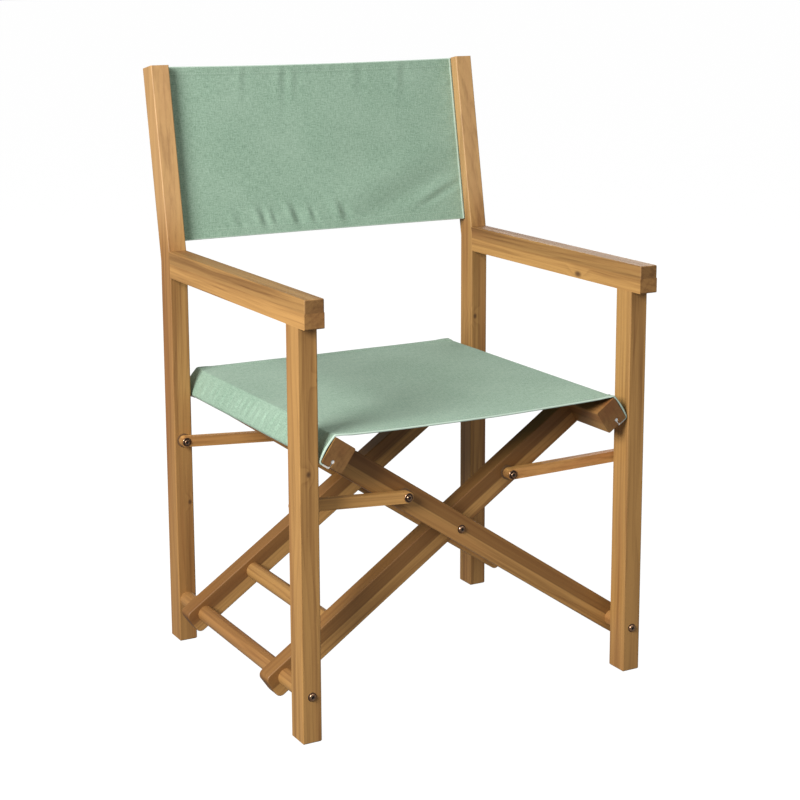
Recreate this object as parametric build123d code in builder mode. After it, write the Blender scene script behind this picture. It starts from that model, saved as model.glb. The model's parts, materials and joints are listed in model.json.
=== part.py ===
from build123d import *
from math import atan2, cos, degrees, hypot, radians, sin, tan
import os

# Folding director's chair in hardwood with a canvas seat and back.
# Frame: +Z up, the front faces -Y, +X is the sitter's left hand. The origin is on the floor, under
# the middle of the whole chair, armrest fronts and post tops included. Each side frame is two legs,
# an armrest and a dowel. Two pairs of crossed bars carry the seat rails and pivot on the dowels and
# on a bolt where they cross. Places along Y are measured from midway between the legs.

os.makedirs("parts", exist_ok=True)

# Side frames
overall_width = 560
frame_depth = 478
leg_width = 29
leg_depth = 36
edge_round = 2
foot_chamfer = 1.5

# Back post: upright to the kink, leaning back above it
kink_height = 600
lean = 10.5
post_top_height = 887

# Armrests: two boards glued one on the other
arm_top = 618
arm_height = 40
upper_board = 18.5
arm_overhang = 22
arm_pin_radius = 4
arm_pin_reach = 20

# Crossed bars, rails and dowels
pivot_height = 67
cross_height = 248
bar_width = 39
bar_thickness = 28
outer_bar_face = 187
bar_gap = 1.5
bar_end_reach = 26
bar_end_round = 9
dowel_radius = 12.5
stretcher_reach = 222.5
stretcher_depth = 16
rail_near = 250
rail_far = 286
rail_round = 2.5
tenon_length = 16
tenon_height = 15
tenon_thickness = 14
tenon_rise = 5

# Flat links between the legs and the bars
link_height = 324
link_reach = 114
link_width = 16
link_thickness = 12
link_splay = 1.3
leg_washer = 1.2
bar_washer = 2.2
washer_radius = 10.5

# Canvas and its beading
canvas_thickness = 1.2
canvas_gap = 0.3
canvas_end_gap = 1
bead_radius = 2.6
bead_bore_radius = 3.2
bead_depth = 8.2
bead_inset = 21
slot_width = 2.8
flap_end = 25
back_canvas_low = 27.5
post_bead_depth = 10
post_canvas_reach = 6

# Fasteners
screw_radius = 3
screw_head_radius = 5.6
screw_head_height = 3.4
screw_bite = 26
socket_radius = 2
socket_depth = 1.8
bolt_radius = 4
nut_height = 6.5
nut_radius = 7.5
pivot_washer = 1

# Fits
press_gap = 0.05
running_gap = 0.08
face_gap = 0.3

# Derived places
half_depth = frame_depth / 2
leg_x = (overall_width - leg_width) / 2
inner_x = overall_width / 2 - leg_width
leg_face_y = half_depth - leg_depth
arm_bottom = arm_top - arm_height
board_joint = arm_top - upper_board
inner_bar_face = outer_bar_face - bar_thickness - bar_gap
bar_angle = degrees(atan2(cross_height - pivot_height, leg_x))
bar_reach = hypot(leg_x, cross_height - pivot_height)
half_bar = bar_width / 2
post_length = (post_top_height - kink_height) / cos(radians(lean))
front_kink = kink_height + leg_depth * tan(radians(lean / 2))
post_setback = post_length * sin(radians(lean))
canvas_length = post_length + leg_depth / 2 * tan(radians(lean / 2)) - canvas_end_gap
legs_y = (arm_overhang - post_setback) / 2


def keep(piece, name):
    """Labels a finished piece and writes its STEP file."""
    piece.part.label = name
    export_step(piece.part, f"parts/{name}.step")


def level_plane(height):
    """Horizontal plane whose origin is midway between the legs."""
    return Plane(origin=(0, legs_y, height))


def side_plane(x):
    """Plane of a side frame: its X runs towards the back and its Y up."""
    return Plane(origin=(x, legs_y, 0), x_dir=(0, 1, 0), z_dir=(1, 0, 0))


def bar_plane(frame, y):
    """Plane on the crossing point: its X runs up a bar to the rail, its Y to the bar's upper edge."""
    turn = radians(bar_angle)
    hand = 1 if frame == "inner" else -1
    crossing = (0, legs_y + y, cross_height)
    return Plane(origin=crossing, x_dir=(hand * cos(turn), 0, sin(turn)), z_dir=(0, -hand, 0))


def in_bar(reach, rise):
    """World X and Z of a point measured along and across an inner bar from the crossing."""
    turn = radians(bar_angle)
    return reach * cos(turn) - rise * sin(turn), cross_height + reach * sin(turn) + rise * cos(turn)


def post_plane(x):
    """Plane square to the leaning post, at the middle of its depth at the kink."""
    turn = radians(lean)
    middle = (x, legs_y + half_depth - leg_depth / 2, (kink_height + front_kink) / 2)
    return Plane(origin=middle, x_dir=(1, 0, 0), z_dir=(0, sin(turn), cos(turn)))


def y_plane(y, outward):
    """Plane facing the front (outward -1) or the back (outward 1) of the chair."""
    return Plane(origin=(0, legs_y + y, 0), x_dir=(-outward, 0, 0), z_dir=(0, outward, 0))


def y_rod(x, z, y, outward, length, radius, mode=Mode.ADD):
    """Adds or cuts a round rod that starts at y and runs towards the front or the back."""
    with BuildSketch(y_plane(y, outward)) as disc:
        with Locations((-outward * x, z)):
            Circle(radius)
    extrude(disc.sketch, amount=length, mode=mode)


def y_screw(x, z, seat, outward, shank, radius=screw_radius, head=screw_head_radius):
    """Adds a socket-head screw: seat is the plane under its head, outward the way the head faces."""
    y_rod(x, z, seat, -outward, shank, radius)
    with BuildSketch(y_plane(seat, outward)) as head_disc:
        with Locations((-outward * x, z)):
            Circle(head)
    extrude(head_disc.sketch, amount=screw_head_height, taper=14)
    y_rod(x, z, seat + outward * screw_head_height, -outward, socket_depth, socket_radius, Mode.SUBTRACT)


# Side frames -------------------------------------------------------------------------------
for side, hand in (("left", -1), ("right", 1)):
    leg_middle = hand * leg_x

    with BuildPart() as front_leg:
        with BuildSketch(level_plane(0)):
            with Locations((leg_middle, -half_depth + leg_depth / 2)):
                RectangleRounded(leg_width, leg_depth, edge_round)
        extrude(amount=arm_bottom)
        chamfer(front_leg.faces().sort_by(Axis.Z)[0].edges(), foot_chamfer)
        y_rod(leg_middle, pivot_height, -half_depth, 1, leg_depth, screw_radius + press_gap, Mode.SUBTRACT)
        y_rod(leg_middle, link_height, -leg_face_y, -1, screw_bite, screw_radius + press_gap, Mode.SUBTRACT)
        with BuildSketch(level_plane(arm_bottom)):
            with Locations((leg_middle, -half_depth + leg_depth / 2)):
                Circle(arm_pin_radius + press_gap)
        extrude(amount=-arm_pin_reach, mode=Mode.SUBTRACT)
    keep(front_leg, f"{side}_front_leg")

    with BuildPart() as back_leg:
        with BuildSketch(side_plane(leg_middle)):
            with BuildLine():
                back_top = (half_depth + post_setback, post_top_height)
                Polyline(
                    (leg_face_y, 0),
                    (half_depth, 0),
                    (half_depth, kink_height),
                    back_top,
                    (
                        back_top[0] - leg_depth * cos(radians(lean)),
                        back_top[1] + leg_depth * sin(radians(lean)),
                    ),
                    (leg_face_y, front_kink),
                    close=True,
                )
            make_face()
        extrude(amount=leg_width / 2, both=True)
        long_edges = back_leg.edges().filter_by(lambda edge: edge.length > post_length / 2)
        fillet(long_edges, edge_round)
        chamfer(back_leg.faces().sort_by(Axis.Z)[0].edges(), foot_chamfer)
        y_rod(leg_middle, pivot_height, half_depth, -1, leg_depth, screw_radius + press_gap, Mode.SUBTRACT)
        y_rod(leg_middle, link_height, leg_face_y, 1, screw_bite, screw_radius + press_gap, Mode.SUBTRACT)
        y_rod(
            leg_middle, arm_bottom + (arm_height - upper_board) / 2, leg_face_y, 1, arm_pin_reach,
            arm_pin_radius + press_gap, Mode.SUBTRACT,
        )
        # Beading groove in the inner face, open at the top of the post
        with BuildSketch(post_plane(hand * inner_x).offset(back_canvas_low)):
            with Locations((hand * post_bead_depth / 2, 0)):
                Rectangle(post_bead_depth, slot_width)
            with Locations((hand * post_bead_depth, 0)):
                Circle(bead_bore_radius)
        extrude(amount=post_length, mode=Mode.SUBTRACT)
    keep(back_leg, f"{side}_back_leg")

    with BuildPart() as upper:
        with BuildSketch(side_plane(leg_middle)):
            with BuildLine():
                Polyline(
                    (-half_depth - arm_overhang, board_joint),
                    (leg_face_y, board_joint),
                    (leg_face_y, front_kink),
                    (leg_face_y + (arm_top - front_kink) * tan(radians(lean)), arm_top),
                    (-half_depth - arm_overhang, arm_top),
                    close=True,
                )
            make_face()
        extrude(amount=leg_width / 2, both=True)
        fillet(upper.faces().sort_by(Axis.Z)[-1].edges().filter_by(Axis.Y), edge_round)
        fillet(upper.faces().sort_by(Axis.Y)[0].edges().group_by(Axis.Z)[-1], edge_round)
    keep(upper, f"{side}_armrest_upper_board")

    with BuildPart() as lower:
        with BuildSketch(side_plane(leg_middle)):
            with BuildLine():
                Polyline(
                    (-half_depth - arm_overhang, arm_bottom),
                    (leg_face_y, arm_bottom),
                    (leg_face_y, board_joint),
                    (-half_depth - arm_overhang, board_joint),
                    close=True,
                )
            make_face()
        extrude(amount=leg_width / 2, both=True)
        fillet(lower.faces().sort_by(Axis.Y)[0].edges().group_by(Axis.Z)[0], edge_round)
        with BuildSketch(level_plane(arm_bottom)):
            with Locations((leg_middle, -half_depth + leg_depth / 2)):
                Circle(arm_pin_radius + press_gap)
        extrude(amount=arm_pin_reach - edge_round, mode=Mode.SUBTRACT)
        y_rod(
            leg_middle, arm_bottom + (arm_height - upper_board) / 2, leg_face_y, -1, arm_pin_reach,
            arm_pin_radius + press_gap, Mode.SUBTRACT,
        )
    keep(lower, f"{side}_armrest_lower_board")

    with BuildPart() as pins:
        pin_half = arm_pin_reach - edge_round - face_gap
        with BuildSketch(level_plane(arm_bottom)):
            with Locations((leg_middle, -half_depth + leg_depth / 2)):
                Circle(arm_pin_radius)
        extrude(amount=pin_half, both=True)
        with BuildSketch(y_plane(leg_face_y, 1)):
            with Locations((-leg_middle, arm_bottom + (arm_height - upper_board) / 2)):
                Circle(arm_pin_radius)
        extrude(amount=pin_half, both=True)
    keep(pins, f"{side}_armrest_pins")

    with BuildPart() as dowel:
        y_rod(leg_middle, pivot_height, -leg_face_y, 1, 2 * leg_face_y, dowel_radius)
        for end in (-1, 1):
            y_rod(
                leg_middle, pivot_height, end * leg_face_y, -end, screw_bite,
                screw_radius + press_gap, Mode.SUBTRACT,
            )
    keep(dowel, f"{side}_pivot_dowel")

    with BuildPart() as dowel_screws:
        for end in (-1, 1):
            y_screw(leg_middle, pivot_height, end * half_depth, end, leg_depth + screw_bite - face_gap)
    keep(dowel_screws, f"{side}_dowel_screws")

    with BuildPart() as bead:
        with BuildSketch(post_plane(hand * (inner_x + post_bead_depth)).offset(back_canvas_low + face_gap)):
            Circle(bead_radius)
        extrude(amount=canvas_length - back_canvas_low - face_gap)
    keep(bead, f"{side}_back_bead")

# Crossed bars and seat rails -----------------------------------------------------------------
for frame, rail_side, face in (("outer", "left", outer_bar_face), ("inner", "right", inner_bar_face)):
    bar_middle = face - bar_thickness / 2

    for place, end in (("front", -1), ("back", 1)):
        with BuildPart() as bar:
            with BuildSketch(bar_plane(frame, end * bar_middle)) as bar_side:
                with Locations(((rail_near - bar_reach - bar_end_reach) / 2, 0)):
                    Rectangle(rail_near + bar_reach + bar_end_reach, bar_width)
                fillet(bar_side.vertices().group_by(Axis.X)[0], bar_end_round)
            extrude(amount=bar_thickness / 2, both=True)
            long_edges = bar.edges().filter_by(lambda edge: edge.length > bar_reach)
            fillet(long_edges, edge_round)
            with BuildSketch(bar_plane(frame, end * bar_middle)):
                with Locations((-bar_reach, 0)):
                    Circle(dowel_radius + running_gap)
                Circle(bolt_radius + running_gap)
            extrude(amount=bar_thickness, both=True, mode=Mode.SUBTRACT)
            with BuildSketch(bar_plane(frame, end * bar_middle)):
                with Locations((rail_near + tenon_length / 2, tenon_rise)):
                    Rectangle(tenon_length, tenon_height)
            extrude(amount=tenon_thickness / 2, both=True)
            stretcher_x, stretcher_z = in_bar(-stretcher_reach, 0)
            if frame == "outer":
                stretcher_x = -stretcher_x
            y_rod(
                stretcher_x, stretcher_z, end * (face - bar_thickness), end, stretcher_depth,
                dowel_radius + press_gap, Mode.SUBTRACT,
            )
        keep(bar, f"{frame}_{place}_bar")

    with BuildPart() as rail:
        with BuildSketch(bar_plane(frame, 0)):
            with Locations(((rail_near + rail_far) / 2, 0)):
                RectangleRounded(rail_far - rail_near, bar_width, rail_round)
            with Locations((rail_near + bead_inset, -half_bar + bead_depth)):
                Circle(bead_bore_radius, mode=Mode.SUBTRACT)
            with Locations((rail_near + bead_inset, -half_bar + bead_depth / 2)):
                Rectangle(slot_width, bead_depth, mode=Mode.SUBTRACT)
        extrude(amount=half_depth, both=True)
        for end in (-1, 1):
            with BuildSketch(bar_plane(frame, end * bar_middle)):
                with Locations((rail_near + tenon_length / 2, tenon_rise)):
                    Rectangle(tenon_length + 2 * face_gap, tenon_height + 2 * press_gap)
            extrude(amount=tenon_thickness / 2 + press_gap, both=True, mode=Mode.SUBTRACT)
    keep(rail, f"{rail_side}_seat_rail")

    with BuildPart() as stretcher:
        with BuildSketch(bar_plane(frame, 0)):
            with Locations((-stretcher_reach, 0)):
                Circle(dowel_radius)
        extrude(amount=face - bar_thickness + stretcher_depth - face_gap, both=True)
    keep(stretcher, f"{frame}_stretcher_dowel")

    with BuildPart() as seat_bead:
        with BuildSketch(bar_plane(frame, 0)):
            with Locations((rail_near + bead_inset, -half_bar + bead_depth)):
                Circle(bead_radius)
        extrude(amount=half_depth - canvas_end_gap, both=True)
    keep(seat_bead, f"{rail_side}_seat_bead")

# Pivot bolts where the bars cross --------------------------------------------------------------
bolt_length = 2 * bar_thickness + bar_gap + nut_height + face_gap + canvas_end_gap

with BuildPart() as pivot_bolts:
    for end in (-1, 1):
        y_screw(0, cross_height, end * outer_bar_face, end, bolt_length, bolt_radius, screw_head_radius)
keep(pivot_bolts, "pivot_bolts")

with BuildPart() as pivot_washers:
    for end in (-1, 1):
        with BuildSketch(y_plane(end * (outer_bar_face - bar_thickness), -end)):
            with Locations((0, cross_height)):
                Circle(washer_radius)
                Circle(bolt_radius + running_gap, mode=Mode.SUBTRACT)
        extrude(amount=pivot_washer)
keep(pivot_washers, "pivot_washers")

with BuildPart() as pivot_nuts:
    for end in (-1, 1):
        with BuildSketch(y_plane(end * (inner_bar_face - bar_thickness - face_gap), -end)):
            with Locations((0, cross_height)):
                RegularPolygon(nut_radius, 6)
                Circle(bolt_radius + press_gap, mode=Mode.SUBTRACT)
        extrude(amount=nut_height)
keep(pivot_nuts, "pivot_nuts")

# Links: each runs from the inner side of a leg to the outer side of a bar -------------------------
link_x, link_z = in_bar(link_reach, 0)
link_length = hypot(leg_x - link_x, link_height - link_z)
link_slope = degrees(atan2(link_z - link_height, leg_x - link_x))

for side, hand, face in (("left", -1, outer_bar_face), ("right", 1, inner_bar_face)):
    splay = 0 if face == outer_bar_face else link_splay
    leg_end_y = leg_face_y - face_gap - leg_washer - splay - link_thickness / 2
    bar_end_y = face + face_gap + bar_washer + splay + link_thickness / 2
    leg_spot = (hand * leg_x, link_height)
    bar_spot = (hand * link_x, link_z)

    with BuildPart() as leg_screws:
        for end in (-1, 1):
            seat = leg_end_y - link_thickness / 2 - splay - face_gap
            y_screw(*leg_spot, end * seat, -end, leg_face_y - seat + screw_bite - face_gap)
    keep(leg_screws, f"{side}_link_leg_screws")

    for place, end in (("front", -1), ("back", 1)):
        with BuildPart() as link:
            with BuildSketch(y_plane(0, -1)):
                middle = ((leg_spot[0] + bar_spot[0]) / 2, (leg_spot[1] + bar_spot[1]) / 2)
                with Locations(Location(middle, -hand * link_slope)):
                    SlotCenterToCenter(link_length, link_width)
                with Locations(leg_spot, bar_spot):
                    Circle(screw_radius + running_gap, mode=Mode.SUBTRACT)
            extrude(amount=half_depth, both=True)
            with BuildSketch(level_plane(link_height)):
                run = (leg_end_y - bar_end_y) / (leg_x - link_x)
                past = link_width / 2 + edge_round
                with BuildLine():
                    Polyline(
                        (hand * (leg_x + past), end * (leg_end_y + run * past - link_thickness / 2)),
                        (hand * (leg_x + past), end * (leg_end_y + run * past + link_thickness / 2)),
                        (hand * (link_x - past), end * (bar_end_y - run * past + link_thickness / 2)),
                        (hand * (link_x - past), end * (bar_end_y - run * past - link_thickness / 2)),
                        close=True,
                    )
                make_face()
            extrude(amount=link_length, both=True, mode=Mode.INTERSECT)
        keep(link, f"{side}_{place}_link")

        with BuildPart() as washers:
            for spot, y, thickness in (
                (leg_spot, leg_face_y - face_gap, leg_washer),
                (bar_spot, face + face_gap + bar_washer, bar_washer),
            ):
                with BuildSketch(y_plane(end * y, -end)):
                    with Locations((end * spot[0], spot[1])):
                        Circle(washer_radius)
                        Circle(screw_radius + running_gap, mode=Mode.SUBTRACT)
                extrude(amount=thickness)
        keep(washers, f"{side}_{place}_link_washers")

        with BuildPart() as bar_screw:
            seat = bar_end_y + link_thickness / 2 + splay
            y_screw(*bar_spot, end * seat, end, seat - face - face_gap)
        keep(bar_screw, f"{side}_{place}_link_bar_screw")

# Canvas ------------------------------------------------------------------------------------------
def seat_outline(gap):
    """Half of the seat canvas outline, wrapped round a rail with a gap, from the flap's end to the top."""
    top = in_bar(rail_far, half_bar)[1] + gap
    turn = radians(bar_angle)
    rise = (top - cross_height - (rail_far + gap) * sin(turn)) / cos(turn)
    return [
        in_bar(rail_near + flap_end, -half_bar - gap),
        in_bar(rail_far + gap, -half_bar - gap),
        in_bar(rail_far + gap, rise),
    ]


with BuildPart() as seat_canvas:
    with BuildSketch(y_plane(0, -1)):
        right_outer = seat_outline(canvas_gap + canvas_thickness)
        right_inner = seat_outline(canvas_gap)
        left_outer = [(-x, z) for x, z in right_outer]
        left_inner = [(-x, z) for x, z in right_inner]
        with BuildLine():
            Polyline(*right_outer, *left_outer[::-1], *left_inner, *right_inner[::-1], close=True)
        make_face()
    extrude(amount=half_depth - canvas_end_gap, both=True)
keep(seat_canvas, "seat_canvas")

with BuildPart() as back_canvas:
    with BuildSketch(post_plane(0).offset(back_canvas_low + face_gap)):
        Rectangle(2 * (inner_x + post_canvas_reach), canvas_thickness)
    extrude(amount=canvas_length - back_canvas_low - face_gap)
keep(back_canvas, "back_canvas")
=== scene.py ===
import json
from math import atan2, cos, pi, radians, sin, tan

import bpy
import numpy as np
from mathutils import Matrix, Vector


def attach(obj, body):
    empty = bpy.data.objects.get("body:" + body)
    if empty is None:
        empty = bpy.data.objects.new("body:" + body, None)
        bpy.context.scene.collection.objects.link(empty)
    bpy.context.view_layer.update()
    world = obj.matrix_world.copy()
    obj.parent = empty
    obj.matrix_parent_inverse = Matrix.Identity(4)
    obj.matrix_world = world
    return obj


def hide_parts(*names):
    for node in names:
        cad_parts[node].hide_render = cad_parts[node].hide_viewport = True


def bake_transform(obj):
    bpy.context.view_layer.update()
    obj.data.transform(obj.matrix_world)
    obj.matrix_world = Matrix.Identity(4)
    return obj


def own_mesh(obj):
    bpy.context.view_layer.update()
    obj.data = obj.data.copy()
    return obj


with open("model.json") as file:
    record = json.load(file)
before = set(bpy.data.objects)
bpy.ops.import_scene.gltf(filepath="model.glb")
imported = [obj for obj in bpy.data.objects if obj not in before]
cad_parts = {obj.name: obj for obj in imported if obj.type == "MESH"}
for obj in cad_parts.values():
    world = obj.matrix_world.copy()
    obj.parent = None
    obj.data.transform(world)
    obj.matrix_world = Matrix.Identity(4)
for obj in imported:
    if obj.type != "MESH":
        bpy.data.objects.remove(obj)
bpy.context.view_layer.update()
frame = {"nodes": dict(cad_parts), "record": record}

mm = 0.001
record = frame["record"]

# the chair's own sizes, in millimetres
postTop = 887
kinkHeight = 600
lean = radians(10.5)
chair = {
    "legsY": (22 - (postTop - kinkHeight) * tan(lean)) / 2,
    "legDepth": 36,
    "halfDepth": 239,
    "innerX": 251,
    "legX": 265.5,
    "legFaceY": 203,
    "pivotHeight": 67,
    "crossHeight": 248,
    "linkHeight": 324,
    "linkReach": 114,
    "outerBarFace": 187,
    "innerBarFace": 157.5,
    "railNear": 250,
    "railFar": 286,
    "halfBar": 19.5,
}
barTurn = atan2(chair["crossHeight"] - chair["pivotHeight"], chair["legX"])


def inBar(reach, rise, hand=1):
    # x and z of a point measured along and across a crossed bar; hand 1 is the bar that climbs to +X
    x = reach * cos(barTurn) - rise * sin(barTurn)
    return hand * x, chair["crossHeight"] + reach * sin(barTurn) + rise * cos(barTurn)


view = {
    "place": (-1.26465, -2.30415 + chair["legsY"] * mm, 1.03509),
    "looks": (0.47327, 0.85974, -0.19200),
    "roll": -0.19,
    "lens": 80.88,
    "shiftY": -0.1,
}


def makeCamera():
    lens = bpy.data.cameras.new("camera")
    lens.lens = view["lens"]
    lens.sensor_width = 36
    lens.shift_y = view["shiftY"]
    camera = bpy.data.objects.new("camera", lens)
    turn = Vector(view["looks"]).to_track_quat("-Z", "Y").to_matrix().to_4x4()
    roll = Matrix.Rotation(radians(view["roll"]), 4, "Z")
    camera.matrix_world = Matrix.Translation(view["place"]) @ turn @ roll
    bpy.context.collection.objects.link(camera)
    bpy.context.scene.camera = camera
    print("camera placed")


studio = {
    "key": {"from": (-2.75, -1.35, 1.95), "size": 1.6, "power": 168},
    "fill": {"from": (0.9, -2.3, 3.0), "size": 2.4, "power": 24},
    "top": {"from": (0.3, 0.6, 3.2), "size": 2.6, "power": 9},
    "rear": {"from": (2.5, 1.9, 2.0), "size": 2.6, "power": 36},
    "aim": (0, 0, 0.45),
    "ambient": 0.235,
    "floorGlow": 0.97,
    "floorWhite": 0.1,
    "floorReach": 60,
}


def makeStudio():
    for name in ("key", "fill", "top", "rear"):
        lamp = bpy.data.lights.new(name, "AREA")
        lamp.shape = "DISK"
        lamp.size = studio[name]["size"]
        lamp.energy = studio[name]["power"]
        stand = bpy.data.objects.new(name, lamp)
        stand.location = studio[name]["from"]
        stand.rotation_euler = (Vector(studio["aim"]) - stand.location).to_track_quat("-Z", "Y").to_euler()
        bpy.context.collection.objects.link(stand)
    world = bpy.data.worlds.new("room")
    bpy.context.scene.world = world
    world.use_nodes = True
    nodes = world.node_tree.nodes
    nodes["Background"].inputs["Color"].default_value = (1, 1, 1, 1)
    nodes["Background"].inputs["Strength"].default_value = studio["ambient"]
    bpy.context.scene.view_settings.view_transform = "Standard"
    print("studio lit")


class Wire:
    # a socket that adds, subtracts, multiplies and divides like a number
    def __init__(self, shade, socket):
        self.shade = shade
        self.socket = socket

    def __add__(self, other):
        return self.shade.number("ADD", self, other)

    def __sub__(self, other):
        return self.shade.number("SUBTRACT", self, other)

    def __rsub__(self, other):
        return self.shade.number("SUBTRACT", other, self)

    def __mul__(self, other):
        return self.shade.number("MULTIPLY", self, other)

    def __truediv__(self, other):
        return self.shade.number("DIVIDE", self, other)

    __radd__ = __add__
    __rmul__ = __mul__


class Shade:
    def __init__(self, name, **constants):
        self.material = bpy.data.materials.new(name)
        self.material.use_nodes = True
        self.tree = self.material.node_tree
        self.skin = self.tree.nodes["Principled BSDF"]
        for socket, value in constants.items():
            self.skin.inputs[socket.replace("_", " ")].default_value = value

    def node(self, kind, settings=None, sockets=None, out=0):
        made = self.tree.nodes.new(kind)
        for name, setting in (settings or {}).items():
            if name == "stops":
                for stop in setting[2:]:
                    made.color_ramp.elements.new(stop[0])
                for element, (place, colour) in zip(made.color_ramp.elements, setting):
                    element.position = place
                    element.color = (*colour, 1)
            else:
                setattr(made, name, setting)
        for name, value in (sockets or {}).items():
            self.put(value, made.inputs[name])
        return Wire(self, made.outputs[out])

    def put(self, value, socket):
        if isinstance(value, Wire):
            self.tree.links.new(value.socket, socket)
        else:
            socket.default_value = value

    def number(self, operation, *values):
        return self.node("ShaderNodeMath", {"operation": operation}, dict(enumerate(values)))

    def sine(self, value):
        return self.number("SINE", value)

    def step(self, value, low, high):
        # 0 below low, 1 above high, smooth between
        settings = {"interpolation_type": "SMOOTHSTEP"}
        return self.node("ShaderNodeMapRange", settings, {0: value, 1: low, 2: high})

    def mix(self, share, a, b, blend="MIX"):
        if not isinstance(a, Wire):
            a = (*a, 1)
        if not isinstance(b, Wire):
            b = (*b, 1)
        settings = {"data_type": "RGBA", "blend_type": blend}
        return self.node("ShaderNodeMix", settings, {0: share, 6: a, 7: b}, out=2)

    def vector(self, operation, a, b, out=0):
        return self.node("ShaderNodeVectorMath", {"operation": operation}, {0: a, 1: b}, out)

    def dot(self, a, b):
        return self.vector("DOT_PRODUCT", a, b, out="Value")

    def place(self):
        return self.node("ShaderNodeTexCoord", out="Object")

    def noise(self, where, scale, detail=2.0, roughness=0.5):
        return self.node("ShaderNodeTexNoise", {}, {
            "Vector": where, "Scale": scale, "Detail": detail, "Roughness": roughness})

    def bump(self, height, strength, distance):
        made = self.node("ShaderNodeBump", {}, {"Height": height, "Strength": strength, "Distance": distance})
        self.put(made, self.skin.inputs["Normal"])

    def feed(self, **sockets):
        for name, value in sockets.items():
            self.put(value, self.skin.inputs[name.replace("_", " ")])


wood = {
    "ringGap": 0.0075,
    "pithAway": (0.11, 0.07),
    "wander": 0.02,
    "roughness": (0.4, 0.58),
    "light": (0.41, 0.217, 0.067),
    "dark": (0.15, 0.06, 0.014),
    "red": (0.295, 0.12, 0.036),
    "endGrain": 0.5,
    "paleTopColour": (0.62, 0.38, 0.17),
    "knot": (0.07, 0.03, 0.012),
    "knotPush": 0.009,
    "lamellaShade": 0.7,
}
upright = (0, 0, 1)
foreAndAft = (0, 1, 0)
outerBar = (cos(barTurn), 0, -sin(barTurn))
innerBar = (cos(barTurn), 0, sin(barTurn))
# each board's grain direction and tone; knots are x, y, z and size in millimetres
boards = {
    "frontLegs": {"along": upright, "tone": 1.03, "seed": 0.3,
                  "nodes": ["left_front_leg", "right_front_leg"],
                  "knots": [(-266.5, -254, 379, 3.6), (-250, -252, 505, 3.6)]},
    "backLegs": {"along": upright, "tone": 1.0, "seed": 1.7, "paleTop": (0.61, 0.70),
                 "nodes": ["left_back_leg", "right_back_leg"],
                 "knots": [(257.7, 187.6, 468, 3.6), (-257.4, 187.6, 224, 3.2)]},
    "armTops": {"along": foreAndAft, "tone": 0.87, "seed": 2.9, "streaks": 0.56,
                "nodes": ["left_armrest_upper_board", "right_armrest_upper_board"]},
    "armBottoms": {"along": foreAndAft, "tone": 1.15, "seed": 4.1, "streaks": 0.55,
                   "nodes": ["left_armrest_lower_board", "right_armrest_lower_board"],
                   "knots": [(251, -120, 584.5, 3.4)]},
    "outerBars": {"along": outerBar, "tone": 1.16, "seed": 5.3, "lamella": (sin(barTurn), 0, cos(barTurn)),
                  "nodes": ["outer_front_bar", "outer_back_bar"]},
    "innerBars": {"along": innerBar, "tone": 1.12, "seed": 6.1, "lamella": (-sin(barTurn), 0, cos(barTurn)),
                  "nodes": ["inner_front_bar", "inner_back_bar"],
                  "knots": [(-157, -173, 179, 3.4)]},
    "rails": {"along": foreAndAft, "tone": 0.85, "seed": 7.9,
              "nodes": ["left_seat_rail", "right_seat_rail"]},
    "dowels": {"along": foreAndAft, "tone": 1.0, "seed": 8.4,
               "nodes": ["left_pivot_dowel", "right_pivot_dowel", "outer_stretcher_dowel",
                         "inner_stretcher_dowel", "left_armrest_pins", "right_armrest_pins"]},
    "leftLinks": {"along": (1, 0, -0.07), "tone": 1.42, "seed": 9.2,
                  "nodes": ["left_front_link", "left_back_link"]},
    "rightLinks": {"along": (1, 0, 0.07), "tone": 1.6, "seed": 9.9,
                   "nodes": ["right_front_link", "right_back_link"]},
}


def cross(a, b):
    return tuple(Vector(a).cross(Vector(b)).normalized())


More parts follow.
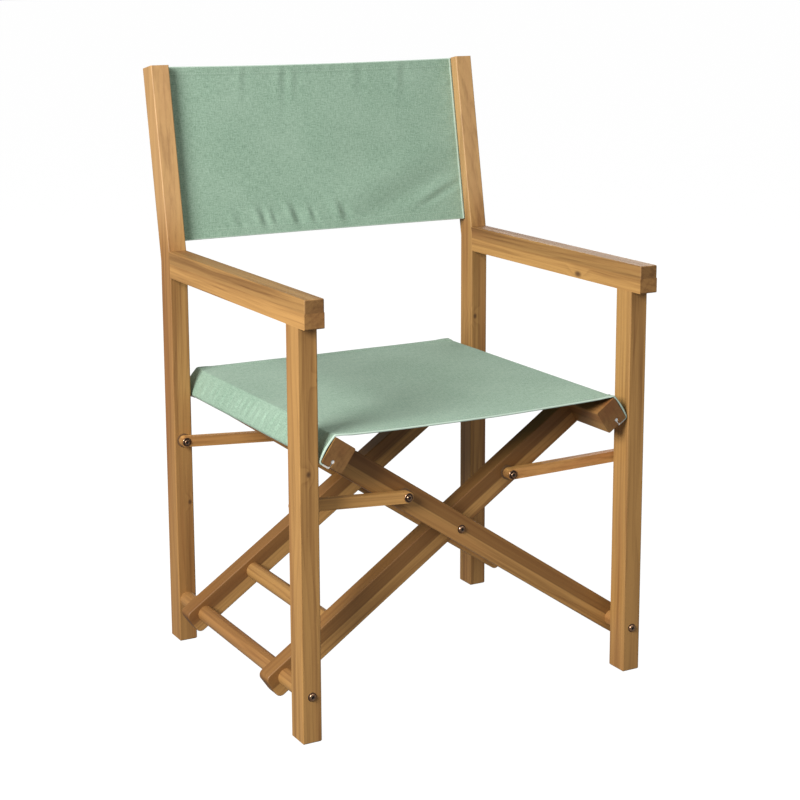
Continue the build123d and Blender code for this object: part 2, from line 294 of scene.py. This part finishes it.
def woodFor(name, board):
    shade = Shade(name, IOR=1.45)
    here = shade.place()
    along = tuple(Vector(board["along"]).normalized())
    side = cross(along, (0.31, 1, 0.17) if abs(along[1]) < 0.9 else (1, 0, 0.2))
    other = cross(along, side)
    u = shade.dot(here, along)
    v = shade.dot(here, side) + wood["pithAway"][0] + board["seed"] * 0.013
    w = shade.dot(here, other) + wood["pithAway"][1]

    def grain(stretch, fine, detail):
        where = shade.node("ShaderNodeCombineXYZ", {}, {
            0: u * stretch + board["seed"] * 7, 1: v * fine, 2: w * fine})
        return shade.noise(where, 1.0, detail, 0.55)

    drift = grain(2.0, 9, 2)
    ringRadius = shade.number("POWER", v * v + w * w, 0.5)
    knotDark = None
    for x, y, z, size in board.get("knots", []):
        away = shade.vector("SUBTRACT", here, (x * mm, y * mm, z * mm))
        away = shade.vector("MULTIPLY", away, (1, 0.35, 0.7))
        far = shade.vector("LENGTH", away, (0, 0, 0), out="Value")
        push = shade.step(far, 4.5 * size * mm, 0.0)
        ringRadius = ringRadius + push * wood["knotPush"]
        dark = shade.step(far, 1.3 * size * mm, 0.25 * size * mm)
        knotDark = dark if knotDark is None else shade.number("MAXIMUM", knotDark, dark)
    bands = (ringRadius + (drift - 0.5) * wood["wander"] * 2) / wood["ringGap"]
    ring = shade.number("FRACT", bands)
    ringLine = ring * ring * shade.step(ring, 1.0, 0.86)
    patch = grain(1.3, 24, 2)
    streak = grain(2.6, 95, 3)
    thread = grain(9, 420, 2)
    fibre = grain(34, 1500, 2)
    pore = shade.step(grain(55, 1050, 1), 0.68, 0.76)
    streaky = shade.step(streak, 0.42, 0.7) * board.get("streaks", 0.46)
    darkness = (ringLine * 0.3 + streaky + (thread - 0.5) * 0.55 + (fibre - 0.5) * 0.34 + pore * 0.18 - 0.03)
    light, dark, red = (tuple(part * board["tone"] for part in wood[key]) for key in ("light", "dark", "red"))
    middling = tuple((a * 0.55 + b * 0.45) for a, b in zip(light, red))
    stops = [(0.3, tuple(part * 1.08 for part in light)), (0.47, light), (0.58, middling), (0.72, red)]
    base = shade.node("ShaderNodeValToRGB", {"stops": stops}, {"Fac": patch})
    colour = shade.mix(darkness, base, dark)
    if "lamella" in board:
        middle = (0, 0, chair["crossHeight"] * mm)
        rise = shade.dot(shade.vector("SUBTRACT", here, middle), board["lamella"]) + (drift - 0.5) * 0.004
        upper = shade.step(rise, -0.0012, 0.0012)
        colour = shade.mix(upper * wood["lamellaShade"], colour, dark)
        seam = shade.step(shade.number("ABSOLUTE", rise), 0.0016, 0.0003)
        colour = shade.mix(seam * 0.35, colour, tuple(part * 0.4 for part in dark))
    # the back legs are mixed towards a paler colour, more so towards their tops
    if "paleTop" in board:
        high = shade.step(shade.dot(here, upright), *board["paleTop"])
        colour = shade.mix(high * 0.5 * (1 - darkness * 0.5), colour, wood["paleTopColour"])
    if knotDark is not None:
        colour = shade.mix(knotDark * 0.85, colour, wood["knot"])
    # the cut ends drink more oil and stay darker
    faces = shade.node("ShaderNodeTexCoord", out="Normal")
    cutEnd = shade.step(shade.number("ABSOLUTE", shade.dot(faces, along)), 0.55, 0.92)
    speckle = shade.noise(here, 900, 2)
    oiled = cutEnd * (wood["endGrain"] + (speckle - 0.5) * 0.35)
    colour = shade.mix(oiled, colour, tuple(part * 0.75 for part in dark))
    smooth, coarse = wood["roughness"]
    rough = smooth + (coarse - smooth) * streak + cutEnd * 0.15
    shade.feed(Base_Color=colour, Roughness=rough)
    shade.bump(fibre * 0.6 + (1 - pore) * 0.7 + (1 - ringLine) * 0.3, 0.28, 0.0004)
    for node in board["nodes"]:
        paint(frame["nodes"][node], shade.material)


def paint(piece, material):
    piece.data.materials.clear()
    piece.data.materials.append(material)


def plainMaterials():
    bronze = Shade("bronzeScrew", Metallic=1.0)
    here = bronze.place()
    wearAndHighlight = bronze.noise(here, 420, 3)
    metal = bronze.mix(bronze.step(wearAndHighlight, 0.38, 0.66), (0.56, 0.35, 0.22), (0.25, 0.145, 0.085))
    bronze.feed(Base_Color=metal, Roughness=wearAndHighlight * 0.3 + 0.16)
    bronze.bump(bronze.noise(here, 1900, 2), 0.12, 0.0001)
    # painted shade: a near-black, slightly mottled material for the screws' sockets and the shadowed bands round
    # their heads
    recess = Shade("paintedRecessShade", Roughness=0.7)
    shadeMottle = recess.noise(recess.place(), 800, 2)
    recess.feed(Base_Color=recess.mix(shadeMottle, (0.018, 0.012, 0.009), (0.045, 0.03, 0.02)))
    washer = Shade("brownWasher")
    spots = washer.noise(washer.place(), 700, 2)
    washer.feed(Base_Color=washer.mix(spots, (0.11, 0.058, 0.026), (0.2, 0.11, 0.05)),
                Roughness=spots * 0.2 + 0.35)
    bead = Shade("whiteBead")
    cloudy = bead.noise(bead.place(), 300, 2)
    bead.feed(Base_Color=bead.mix(cloudy, (0.86, 0.86, 0.84), (0.72, 0.73, 0.71)),
              Roughness=cloudy * 0.2 + 0.4)
    made = {"hardware": bronze, "recess": recess, "washer": washer, "bead": bead}
    return {slot: shade.material for slot, shade in made.items()}


screw = {
    "rod": 3,
    "boltRod": 4,
    "socket": 1.95,
    "turns": 48,
    "bite": 25.7,
    "dowelShank": 61.7,
    "boltShank": 65.3,
    "legSeat": {"left": 189.2, "right": 186.6},
    "barSeat": {"left": 201.5, "right": 174.6},
}
# radius, height above the seat, and whether the band that ends there takes the near-black painted shade: the
# thin flange round a plain head and the groove inside a ringed head stand in for the shadow there
plainHead = [(6.3, 0.05, False), (6.35, 0.16, True), (5.35, 0.18, True), (5.35, 1.2, False), (5.1, 2.1, False),
             (4.3, 2.95, False), (3.3, 3.35, False), (2.75, 3.4, False), (2.35, 3.25, False)]
ringHead = [(6.9, 0.05, False), (6.95, 0.75, False), (6.6, 1.15, False), (5.9, 1.2, False), (5.5, 0.85, False),
            (5.2, 0.2, True), (4.2, 0.2, True), (4.2, 2.1, False), (3.9, 2.85, False), (3.2, 3.3, False),
            (2.7, 3.4, False), (2.35, 3.25, False)]


def addScrew(mesh, x, z, seat, outward, shank, head, rod):
    # turned about its own axis; the last rings are the six-sided socket, painted near-black as the shade inside
    # it
    rings = [(rod * 0.75, -shank, 0), (rod, -shank + 0.8, 0), (rod, 0, 0)]
    rings += [(radius, height, 0) for radius, height, dark in head]
    rings += [(screw["socket"], 3.1, 1), (screw["socket"], 1.5, 1), (0.4, 1.2, 1)]
    paintedShadeBand = [False, False, False] + [dark for radius, height, dark in head] + [True, True, True]
    points, faces, shades = mesh
    first = len(points)
    turns = screw["turns"]
    for radius, height, hexed in rings:
        for k in range(turns):
            angle = 2 * pi * k / turns
            reach = radius / cos((angle % (pi / 3)) - pi / 6) if hexed else radius
            points.append(((x + reach * cos(angle)) * mm, (chair["legsY"] + seat + outward * height) * mm,
                           (z + reach * sin(angle)) * mm))
    flip = outward > 0
    for i in range(len(rings) - 1):
        for k in range(turns):
            a, b = first + i * turns + k, first + i * turns + (k + 1) % turns
            face = (a, b, b + turns, a + turns)
            faces.append(face[::-1] if flip else face)
            shades.append(1 if paintedShadeBand[i + 1] else 0)
    for start, turnedIn in ((first, False), (first + (len(rings) - 1) * turns, True)):
        cap = tuple(range(start, start + turns))
        faces.append(cap[::-1] if turnedIn == flip else cap)
        shades.append(1 if turnedIn else 0)


def makeScrews(materials):
    linkX, linkZ = inBar(chair["linkReach"], 0)
    ends = (("front", -1), ("back", 1))
    for side, hand in (("left", -1), ("right", 1)):
        legX = hand * chair["legX"]
        barSeat, legSeat = screw["barSeat"][side], screw["legSeat"][side]
        barFace = chair["outerBarFace"] if side == "left" else chair["innerBarFace"]
        legShank = chair["legFaceY"] - legSeat + screw["bite"]
        barShank = barSeat - barFace - 0.3
        turnScrews(side + "_dowel_screws", screw["rod"], materials, [
            (legX, chair["pivotHeight"], end * chair["halfDepth"], end, screw["dowelShank"], plainHead)
            for place, end in ends])
        turnScrews(side + "_link_leg_screws", screw["rod"], materials, [
            (legX, chair["linkHeight"], end * legSeat, -end, legShank, ringHead) for place, end in ends])
        for place, end in ends:
            turnScrews(side + "_" + place + "_link_bar_screw", screw["rod"], materials, [
                (hand * linkX, linkZ, end * barSeat, end, barShank, ringHead)])
    turnScrews("pivot_bolts", screw["boltRod"], materials, [
        (0, chair["crossHeight"], end * chair["outerBarFace"], end, screw["boltShank"], plainHead)
        for place, end in ends])
    print("screws turned")


def turnScrews(node, rod, materials, heads):
    mesh = ([], [], [])
    for x, z, seat, outward, shank, head in heads:
        addScrew(mesh, x, z, seat, outward, shank, head, rod)
    words = node.split("_")
    name = words[0] + "".join(word.title() for word in words[1:])
    piece = meshPiece(name, mesh[0], mesh[1], materials["hardware"])
    # second material: the near-black painted shade in the socket and round the head
    piece.data.materials.append(materials["recess"])
    piece.data.polygons.foreach_set("material_index", mesh[2])
    piece.data.set_sharp_from_angle(angle=radians(38))
    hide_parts(node)
    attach(piece, bodyOf[node])


canvas = {
    "thread": 0.0017,
    "light": (0.32, 0.452, 0.34),
    "dark": (0.14, 0.232, 0.16),
    # pale is the colour of the painted highlight on the hem rims and beside the posts
    "pale": (0.57, 0.69, 0.59),
    "faded": (0.42, 0.54, 0.43),
    "tape": (0.74, 0.72, 0.66),
    "roughness": 0.86,
}


def canvasMaterial(name, cutSize, paleStrip=None, tape=None):
    # woven cloth in the cut's own metres; the folded hem edges, and a strip beside the posts, get a pale painted
    # highlight and the ends that hold the beading are bound in white tape
    shade = Shade(name, Sheen_Weight=0.08, Sheen_Roughness=0.5, IOR=1.4)
    flat = shade.node("ShaderNodeUVMap", {"uv_map": "cut"})
    cutX = shade.dot(flat, (1, 0, 0))
    cutY = shade.dot(flat, (0, 1, 0))
    turns = 2 * pi / canvas["thread"]
    warp = shade.sine(cutX * turns)
    weft = shade.sine(cutY * turns)
    weave = warp * weft * 0.5 + 0.5
    slub = shade.noise(shade.vector("MULTIPLY", flat, (1, 0.12, 1)), 760, 2)
    slubAcross = shade.noise(shade.vector("MULTIPLY", flat, (0.12, 1, 1)), 760, 2)
    heather = shade.noise(flat, 480, 3, 0.75)
    faded = shade.noise(flat, 11, 3)
    darkness = ((1 - weave) * 0.3 + (heather - 0.5) * 1.5
                + (slub - 0.5) * 0.9 + (slubAcross - 0.5) * 0.9 + 0.24)
    colour = shade.mix(shade.step(darkness, -0.1, 1.0), canvas["light"], canvas["dark"])
    colour = shade.mix(shade.step(faded, 0.3, 0.75) * 0.18, colour, canvas["faded"])
    side = shade.number("MINIMUM", cutX, cutSize[0] * mm - cutX)
    edge = shade.number("MINIMUM", cutY, cutSize[1] * mm - cutY)
    # painted highlight: the rim of each folded hem, and a strip beside each post where one is given, turn pale
    # as where light catches them
    wearAndHighlight = shade.step(edge + (heather - 0.5) * 0.0012, 0.0021, 0.0008)
    if paleStrip:
        away = shade.number("ABSOLUTE", side - paleStrip * mm)
        wearAndHighlight = shade.number("MAXIMUM", wearAndHighlight, shade.step(away + (heather - 0.5) * 0.0016, 0.0022, 0.0009))
    colour = shade.mix(wearAndHighlight * 0.72, colour, canvas["pale"])
    if tape:
        colour = shade.mix(shade.step(side, (tape + 1) * mm, tape * mm), colour, canvas["tape"])
    shade.feed(Base_Color=colour, Roughness=canvas["roughness"] + (heather - 0.5) * 0.16)
    shade.bump(weave * 0.6 + heather * 0.4 + slub * 0.3 + slubAcross * 0.3, 0.55, 0.0005)
    return shade.material


def threadMaterial():
    shade = Shade("paleThread", Roughness=0.7)
    here = shade.place()
    twist = shade.noise(here, 1800, 2)
    shade.feed(Base_Color=shade.mix(twist, (0.5, 0.64, 0.52), (0.28, 0.4, 0.3)))
    shade.bump(twist, 0.3, 0.0002)
    return shade.material


def meshPiece(name, points, faces, material, smooth=True, cut=None):
    mesh = bpy.data.meshes.new(name)
    mesh.from_pydata([tuple(p) for p in points], [], [tuple(face) for face in faces])
    if cut is not None:
        layer = mesh.uv_layers.new(name="cut")
        corner = np.zeros(len(mesh.loops), np.int32)
        mesh.loops.foreach_get("vertex_index", corner)
        layer.data.foreach_set("uv", np.asarray(cut, np.float32)[corner].ravel())
    mesh.materials.append(material)
    mesh.polygons.foreach_set("use_smooth", [smooth] * len(mesh.polygons))
    mesh.update()
    piece = bpy.data.objects.new(name, mesh)
    bpy.context.collection.objects.link(piece)
    return piece


def clothPiece(name, middle, outward, above, below, cut, material):
    # a closed sheet from a grid of points, their outward directions and how thick it is on each side
    rows, columns = middle.shape[:2]
    upper = (middle + outward * above[..., None]).reshape(-1, 3)
    lower = (middle - outward * below[..., None]).reshape(-1, 3)
    count = rows * columns
    number = np.arange(count).reshape(rows, columns)
    faces = []
    for i in range(rows - 1):
        for j in range(columns - 1):
            a, b, c, d = number[i, j], number[i + 1, j], number[i + 1, j + 1], number[i, j + 1]
            faces.append((int(a), int(b), int(c), int(d)))
            faces.append((int(d) + count, int(c) + count, int(b) + count, int(a) + count))
    rim = list(number[0, :]) + list(number[1:, -1]) + list(number[-1, -2::-1]) + list(number[-2:0:-1, 0])
    for a, b in zip(rim, rim[1:] + rim[:1]):
        faces.append((int(a), int(b), int(b) + count, int(a) + count))
    flat = cut.reshape(-1, 2)
    points = np.concatenate([upper, lower]) * mm
    return meshPiece(name, points, faces, material, cut=np.concatenate([flat, flat]) * mm)


stitch = {"length": 3.0, "gap": 1.1, "radius": 0.34, "sides": 6, "inset": 2.6}


def addStitches(mesh, line, outward, start, end):
    # short tight loops of thread along a line on the cloth, from one distance along it to another
    points, faces = mesh
    steps = np.linalg.norm(np.diff(line, axis=0), axis=1)
    run = np.concatenate([[0], np.cumsum(steps)])
    pitch = stitch["length"] + stitch["gap"]
    profile = ((0, 0.25), (0.3, 0.85), (0.5, 1.0), (0.7, 0.85), (1, 0.25))
    for k in range(int((min(end, run[-1]) - start) / pitch)):
        first = len(points)
        for share, wide in profile:
            at = start + k * pitch + share * stitch["length"]
            spot = np.array([np.interp(at, run, line[:, axis]) for axis in range(3)])
            up = np.array([np.interp(at, run, outward[:, axis]) for axis in range(3)])
            ahead = np.array([np.interp(at + 0.5, run, line[:, axis]) for axis in range(3)]) - spot
            across = np.cross(up, ahead)
            across /= np.linalg.norm(across) + 1e-9
            rise = 0.18 + 0.2 * sin(pi * share) - stitch["radius"] * (1 - wide)
            for n in range(stitch["sides"]):
                angle = 2 * pi * n / stitch["sides"]
                reach = stitch["radius"] * wide
                points.append(spot + up * (rise + reach * 0.8 * sin(angle)) + across * reach * cos(angle))
        sides = stitch["sides"]
        for i in range(len(profile) - 1):
            for n in range(sides):
                a, b = first + i * sides + n, first + i * sides + (n + 1) % sides
                faces.append((a, b, b + sides, a + sides))
        faces.append(tuple(range(first + sides - 1, first - 1, -1)))
        last = first + (len(profile) - 1) * sides
        faces.append(tuple(range(last, last + sides)))


def roundedPath(corners, radii, step):
    # points along straight runs and round their corners; step is the spacing on each run
    points = [np.array(corners[0], float)]
    for i in range(1, len(corners) - 1):
        a, b, c = (np.array(corners[k], float) for k in (i - 1, i, i + 1))
        inward, away = (b - a) / np.linalg.norm(b - a), (c - b) / np.linalg.norm(c - b)
        turn = np.arccos(np.clip(inward @ away, -1, 1))
        back = radii[i - 1] * tan(turn / 2)
        start, end = b - inward * back, b + away * back
        addRun(points, start, step[i - 1])
        side = np.sign(inward[0] * away[1] - inward[1] * away[0])
        centre = start + np.array([-inward[1], inward[0]]) * radii[i - 1] * side
        first = start - centre
        for k in range(1, 7):
            angle = side * turn * k / 6
            points.append(centre + np.array([first[0] * cos(angle) - first[1] * sin(angle),
                                             first[0] * sin(angle) + first[1] * cos(angle)]))
    addRun(points, np.array(corners[-1], float), step[-1])
    return np.array(points)


def addRun(points, end, step):
    start = points[-1]
    length = np.linalg.norm(end - start)
    parts = max(1, round(length / step))
    for k in range(1, parts + 1):
        points.append(start + (end - start) * k / parts)


def edgeSpacing(length, hem, step):
    # places from one edge to the other, close together at both hems
    near = [0, 0.25, 0.6, 1.1, 2, 4, 6.5]
    near += [hem + away for away in (-3.2, -2.6, -2, -1.2, -0.6, 0, 0.5, 1.2)]
    count = round((length - 2 * near[-1]) / step)
    middle = np.linspace(near[-1], length - near[-1], count + 1)[1:-1]
    return np.concatenate([near, middle, length - np.array(near[::-1])])


def bell(distance, width):
    return np.exp(-(distance / width) ** 2)


def hemSeam(distance, hem):
    # the line of stitching draws the cloth in a little
    return 0.2 * bell(distance - hem + stitch["inset"], 0.5)


def hemLift(distance, hem, fold, roll):
    # extra thickness at a distance from an edge: the turned-in hem, and the roll at its very edge
    turned = fold * (1 - np.clip((distance - hem + 0.6) / 1.1, 0, 1))
    return turned + roll * (1 - np.clip((distance - 3.0) / 1.6, 0, 1))


def roundRim(distance, half):
    # share of the thickness left near the very edge, so that the fold is round
    return np.sqrt(np.clip(1 - (1 - np.clip(distance / half, 0, 1)) ** 2, 0.02, 1))


seat = {
    "hem": 13,
    "thickness": 1.3,
    "gap": 0.25,
    "endGap": 1,
    "tape": 17,
    "sagFront": 4.2,
    "sagMiddle": 2.6,
    "sagBack": 0.8,
    "bulge": 1.7,
    "slot": 6.6,
    "creaseGap": 21,
    "creaseDepth": (0.9, 1.9),
    "creaseWidth": (2.4, 4.6),
    "seed": 5,
}


def seatPath():
    # the line of the cloth's middle, from the right groove round the rail, over the top and into the left one
    near, far, half = chair["railNear"], chair["railFar"], chair["halfBar"]
    off = seat["gap"] + seat["thickness"] / 2
    top = inBar(far, half)[1] + off
    rise = (top - chair["crossHeight"] - (far + off) * sin(barTurn)) / cos(barTurn)
    right = [inBar(near + 21, -half + 6.5), inBar(near + 21, -half - off), inBar(far + off, -half - off),
             inBar(far + off, rise)]
    left = [(-x, z) for x, z in right[::-1]]
    path = roundedPath(right + left, [1.2, 3.0, 3.0, 3.0, 3.0, 1.2], [1.5, 2, 1.6, 4, 1.6, 2, 1.5])
    run = np.concatenate([[0], np.cumsum(np.linalg.norm(np.diff(path, axis=0), axis=1))])
    return path, run, right[3][0], top


def seatSize():
    return seatPath()[1][-1], 2 * (chair["halfDepth"] - seat["endGap"])


def makeSeat(material, thread):
    path, run, topX, top = seatPath()
    length = seatSize()[1]
    across = edgeSpacing(length, seat["hem"], 2.2)
    tangent = np.gradient(path, run, axis=0)
    tangent /= np.linalg.norm(tangent, axis=1)[:, None]
    normal = np.stack([tangent[:, 1], -tangent[:, 0]], axis=1)
    y = across - length / 2
    sag = np.interp(y, [y[0], 0, y[-1]], [seat["sagFront"], seat["sagMiddle"], seat["sagBack"]])
    x, z = path[:, 0][:, None], path[:, 1][:, None]
    onTop = (np.abs(x) < topX) & (z > top - 2)
    depth = np.where(onTop, np.clip(1 - (x / topX) ** 2, 0, 1), 0)
    draws = np.random.default_rng(seat["seed"])
    lift = -depth * sag[None, :]
    # the taut part is never quite even
    lift += depth * 0.4 * np.sin(x / 47 + y[None, :] / 61) * np.sin(y[None, :] / 39 - x / 83)
    flapStart, flapEnd = (inBar(chair["railFar"], hand * chair["halfBar"])[1] for hand in (-1, 1))
    alongFlap = np.clip((z - flapStart) / (flapEnd - flapStart), 0, 1)
    onFlap = (np.abs(x) > topX) & (z > flapStart)
    shape = np.where(onFlap, np.sin(pi * alongFlap), 0)
    lift += shape * seat["bulge"]
    for hand in (-1, 1):
        place = -182.0
        while place < 185:
            place += seat["creaseGap"] * draws.uniform(0.55, 1.35)
            width = draws.uniform(*seat["creaseWidth"])
            deep = draws.uniform(*seat["creaseDepth"]) * (1 - 0.55 * abs(place) / 185)
            slant = draws.uniform(-7, 3)
            middleAt = draws.uniform(0.38, 0.62)
            tall = bell(alongFlap - middleAt, 0.36) * shape ** 0.35
            away = y[None, :] - place - slant * (alongFlap - 0.5)
            crease = -deep * bell(away, width) + 0.8 * deep * bell(away - 1.8 * width, width)
            lift += np.where(np.sign(x) == hand, tall * crease, 0)
    middle = np.zeros((len(path), len(across), 3))
    outward = np.zeros_like(middle)
    middle[..., 0] = x + normal[:, 0][:, None] * lift
    middle[..., 2] = z + normal[:, 1][:, None] * lift
    middle[..., 1] = chair["legsY"] + y[None, :]
    outward[..., 0] = normal[:, 0][:, None]
    outward[..., 2] = normal[:, 1][:, None]
    edge = np.minimum(across, length - across)
    half = seat["thickness"] / 2
    rim = roundRim(edge, 1.5)[None, :]
    free = np.clip((topX - 14 - np.abs(x)) / 10, 0, 1) * onTop  # 1 where no rail is under the cloth
    inSlot = (run < seat["slot"]) | (run > run[-1] - seat["slot"])
    room = np.where(inSlot, 0.3, 1.0)[:, None]
    extra = hemLift(edge, seat["hem"], 0.85, 0.75)[None, :]
    above = (half + extra * room * (1 - 0.5 * free)) * rim
    below = (half + extra * 0.5 * free) * rim
    above = above - hemSeam(edge, seat["hem"])[None, :]
    cut = np.stack(np.broadcast_arrays(run[:, None], across[None, :]), axis=-1)
    piece = clothPiece("seatCanvas", middle, outward, above, below, cut, material)
    stitches = ([], [])
    for wanted in (seat["hem"] - stitch["inset"], length - seat["hem"] + stitch["inset"]):
        row = int(np.argmin(np.abs(across - wanted)))
        surface = middle[:, row] + outward[:, row] * above[:, row][:, None]
        addStitches(stitches, surface, outward[:, row], 9, run[-1] - 9)
    threads = meshPiece("seatStitches", np.array(stitches[0]) * mm, stitches[1], thread)
    print("seat canvas made", len(piece.data.vertices), "points,", len(stitches[1]), "stitch faces")
    return piece, threads


back = {
    "hem": 14,
    "thickness": 1.3,
    "low": 27.8,
    "endGap": 0.4,
    # where the painted highlight runs beside each post
    "paleStrip": 8.5,
    "squash": 0.65,
    "reach": 6,
    "sag": 1.8,
    "dip": 2.2,
    # place along the hem, half width, depth and height of each pucker
    "lowPuckers": [(-118, 7, 2.4, 15), (-97, 5, 1.6, 12), (-62, 7, 2.6, 17), (-30, 5, 1.7, 13),
                   (20, 8, 2.3, 15), (-160, 7, 0.9, 12)],
    "topPuckers": [(-128, 6, 0.6, 30), (-62, 7, 0.8, 44), (-38, 6, 0.6, 34), (70, 8, 0.6, 30),
                   (150, 8, 0.7, 40)],
    "gathers": (48, 66, 92, 118, 140, 171, 197, 226),
    # a long soft ridge that climbs to the right post, and a sharper crease under it
    "ridges": [{"at": (120, 74), "turn": (0.93, 0.37), "long": 110, "waves": [(2.6, 6, 26), (-1.6, -34, 16)]},
               {"at": (205, 44), "turn": (0.9, 0.43), "long": 40, "waves": [(-1.7, -2, 6), (1.5, 9, 9)]}],
}


def backSize():
    top = (postTop - kinkHeight) / cos(lean) + chair["legDepth"] / 2 * tan(lean / 2) - back["endGap"]
    return 2 * (chair["innerX"] + back["reach"]), top - back["low"]


def makeBack(material, thread):
    frontKink = kinkHeight + chair["legDepth"] * tan(lean / 2)
    middleY = chair["legsY"] + chair["halfDepth"] - chair["legDepth"] / 2
    origin = np.array([0, middleY, (kinkHeight + frontKink) / 2])
    up = np.array([0, sin(lean), cos(lean)])
    front = np.array([0, -cos(lean), sin(lean)])
    innerX = chair["innerX"]
    halfWidth, height = backSize()[0] / 2, backSize()[1]
    across = edgeSpacing(height, back["hem"], 2.4)
    near = 12  # closer columns beside each post
    columns = np.concatenate([
        np.linspace(-halfWidth, -innerX, 4)[:-1], np.linspace(-innerX, -innerX + near, 13)[:-1],
        np.linspace(-innerX + near, innerX - near, 190),
        np.linspace(innerX - near, innerX, 13)[1:], np.linspace(innerX, halfWidth, 4)[1:]])
    x, v = columns[:, None], across[None, :]
    span = np.clip(1 - (x / innerX) ** 2, 0, 1)
    fade = np.clip((innerX - np.abs(x)) / near, 0, 1)
    w = -back["sag"] * span + 0 * v
    w = w + 0.8 * span * np.sin(x / 71 + v / 49) * np.cos(v / 37 - x / 120)
    w = w + 0.5 * span * np.sin(x / 33 + 1.2) * np.sin(v / 95 + x / 210)
    for place, width, deep, tall in back["lowPuckers"]:
        away = x - place + (v - 20) * 0.36
        grip = fade * bell(v - 26, tall) * np.clip(v / 16, 0.1, 1)
        w = w + deep * grip * (bell(away, width) - 0.9 * bell(away - 1.8 * width, width))
    for place, width, deep, tall in back["topPuckers"]:
        away = x - place + (height - v) * 0.1
        grip = fade * bell(height - v - 16, tall) * np.clip((height - v) / 12, 0.15, 1)
        w = w + deep * grip * (bell(away, width) - 0.9 * bell(away - 1.8 * width, width))
    for ridge in back["ridges"]:
        (atX, atV), (turnX, turnV) = ridge["at"], ridge["turn"]
        along = (x - atX) * turnX + (v - atV) * turnV
        off = (v - atV) * turnX - (x - atX) * turnV
        waves = sum(deep * bell(off - place, width) for deep, place, width in ridge["waves"])
        w = w + fade * bell(along, ridge["long"]) * waves
    for place in back["gathers"]:
        w = w + fade * 0.6 * bell(v - place - (x - 240) * 0.2, 4.5) * bell(x - 240, 12)
        w = w + fade * 0.3 * bell(v - place - 12 + (x + 240) * 0.2, 5) * bell(x + 236, 13)
    # the seam of the sleeve that holds the beading stands up a little beside each post
    w = w + 0.9 * bell(innerX - np.abs(x) - 2.6, 1.5) * (1 + 0.25 * np.sin(v / 4.2))
    edgeTop = np.clip((v - height * 0.4) / (height * 0.6), 0, 1)
    rise = v - back["dip"] * span * edgeTop ** 2 + 0.7 * span * (1 - v / height) ** 3
    middle = origin + x[..., None] * np.array([1, 0, 0]) + (rise + back["low"])[..., None] * up
    middle = middle + w[..., None] * front
    outward = np.broadcast_to(front, middle.shape)
    edge = np.minimum(across, height - across)
    rim = roundRim(edge, 1.3)
    half = back["thickness"] / 2
    line = hemSeam(edge, back["hem"])
    extra = hemLift(edge, back["hem"], 0.8, 0.5)
    squeeze = np.where(np.abs(x) > innerX - 0.5, 0.55, 1)
    thick = ((half + extra * 0.5) * rim - line)[None, :] * squeeze
    cut = np.stack(np.broadcast_arrays(x + halfWidth, v), axis=-1)
    piece = clothPiece("backCanvas", middle, outward, thick, thick, cut, material)
    stitches = ([], [])
    for wanted in (back["hem"] - stitch["inset"], height - back["hem"] + stitch["inset"]):
        row = int(np.argmin(np.abs(across - wanted)))
        for side in (1, -1):
            facing = outward[:, row] * side
            addStitches(stitches, middle[:, row] + facing * thick[:, row][:, None], facing, 8, 2 * halfWidth - 8)
    threads = meshPiece("backStitches", np.array(stitches[0]) * mm, stitches[1], thread)
    print("back canvas made", len(piece.data.vertices), "points,", len(stitches[1]), "stitch faces")
    return piece, threads


def makeFloor():
    shade = Shade("floor", Roughness=0.9)
    shade.skin.inputs["Base Color"].default_value = (studio["floorWhite"],) * 3 + (1,)
    shade.skin.inputs["Emission Color"].default_value = (1, 1, 1, 1)
    shade.skin.inputs["Emission Strength"].default_value = studio["floorGlow"]
    shade.skin.inputs["Specular IOR Level"].default_value = 0
    wide = studio["floorReach"]
    floor = meshPiece("floor", [(-wide, -wide, 0), (wide, -wide, 0), (wide, wide, 0), (-wide, wide, 0)],
                      [(0, 1, 2, 3)], shade.material, smooth=False)
    floor.visible_diffuse = False
    floor.visible_glossy = False
    print("floor laid")


bodyOf = {node: body for body, nodes in record["behaviour"]["bodies"].items() for node in nodes}
makeCamera()
makeStudio()
makeFloor()
for boardName, board in boards.items():
    woodFor(boardName, board)
print("wood made")
plain = plainMaterials()
for part in record["subparts"]:
    if part["material_slot"] in plain:
        paint(frame["nodes"][part["node"]], plain[part["material_slot"]])
makeScrews(plain)
thread = threadMaterial()
seatPiece, seatThread = makeSeat(canvasMaterial("seatCloth", seatSize(), tape=seat["tape"]), thread)
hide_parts("seat_canvas")
edgeX = inBar(chair["railNear"], 0)[0] * mm
for piece in (seatPiece, seatThread):
    -edgeX
    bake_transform(piece)
seatCut = tuple(side * mm for side in seatSize())
backPiece, backThread = makeBack(canvasMaterial("backCloth", backSize(), back["paleStrip"]), thread)
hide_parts("back_canvas")
for piece in (backPiece, backThread):
    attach(piece, bodyOf["left_back_leg"])
    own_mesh(piece)
backCut = tuple(side * mm for side in backSize())
